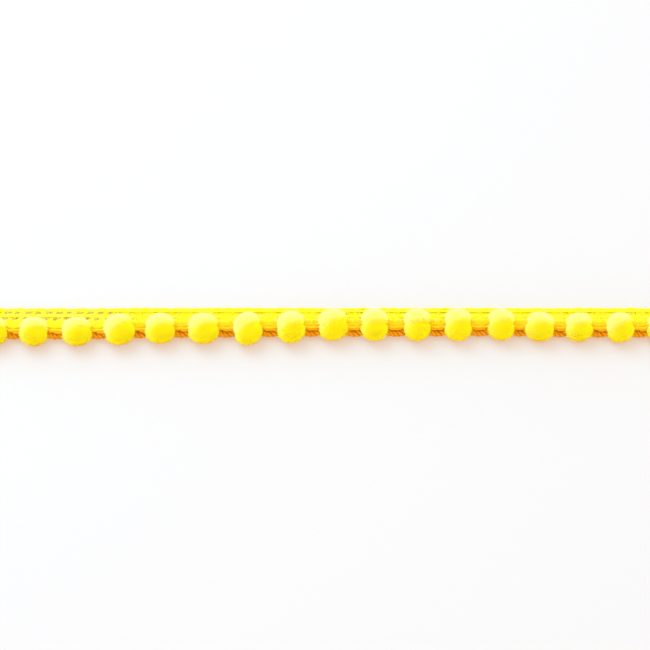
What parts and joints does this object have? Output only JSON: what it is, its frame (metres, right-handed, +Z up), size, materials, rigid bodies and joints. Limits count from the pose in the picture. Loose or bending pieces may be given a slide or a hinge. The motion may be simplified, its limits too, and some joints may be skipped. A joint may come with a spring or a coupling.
{
  "type": "pompom fringe trim",
  "caption": "Narrow knitted yarn braid with a row of small cut-pile pompoms bound along its front edge, for trimming sewn edges.",
  "frame": {"origin": "middle of the whole trim's bounding box, on the surface it lies on", "axes": "+X along the trim, -Y towards the pompoms, +Z up from the surface"},
  "size_m": [0.123, 0.0085, 0.0049],
  "materials": {
    "braid_yarn": "matte",
    "pompom_yarn": "matte"
  },
  "bodies": {
    "root": {"braid": "braid_yarn", "pompom_01": "pompom_yarn", "pompom_02": "pompom_yarn", "pompom_03": "pompom_yarn", "pompom_04": "pompom_yarn", "pompom_05": "pompom_yarn", "pompom_06": "pompom_yarn", "pompom_07": "pompom_yarn", "pompom_08": "pompom_yarn", "pompom_09": "pompom_yarn", "pompom_10": "pompom_yarn", "pompom_11": "pompom_yarn", "pompom_12": "pompom_yarn", "pompom_13": "pompom_yarn", "pompom_14": "pompom_yarn", "pompom_15": "pompom_yarn", "pompom_16": "pompom_yarn", "pompom_17": "pompom_yarn"}
  },
  "joints": []
}
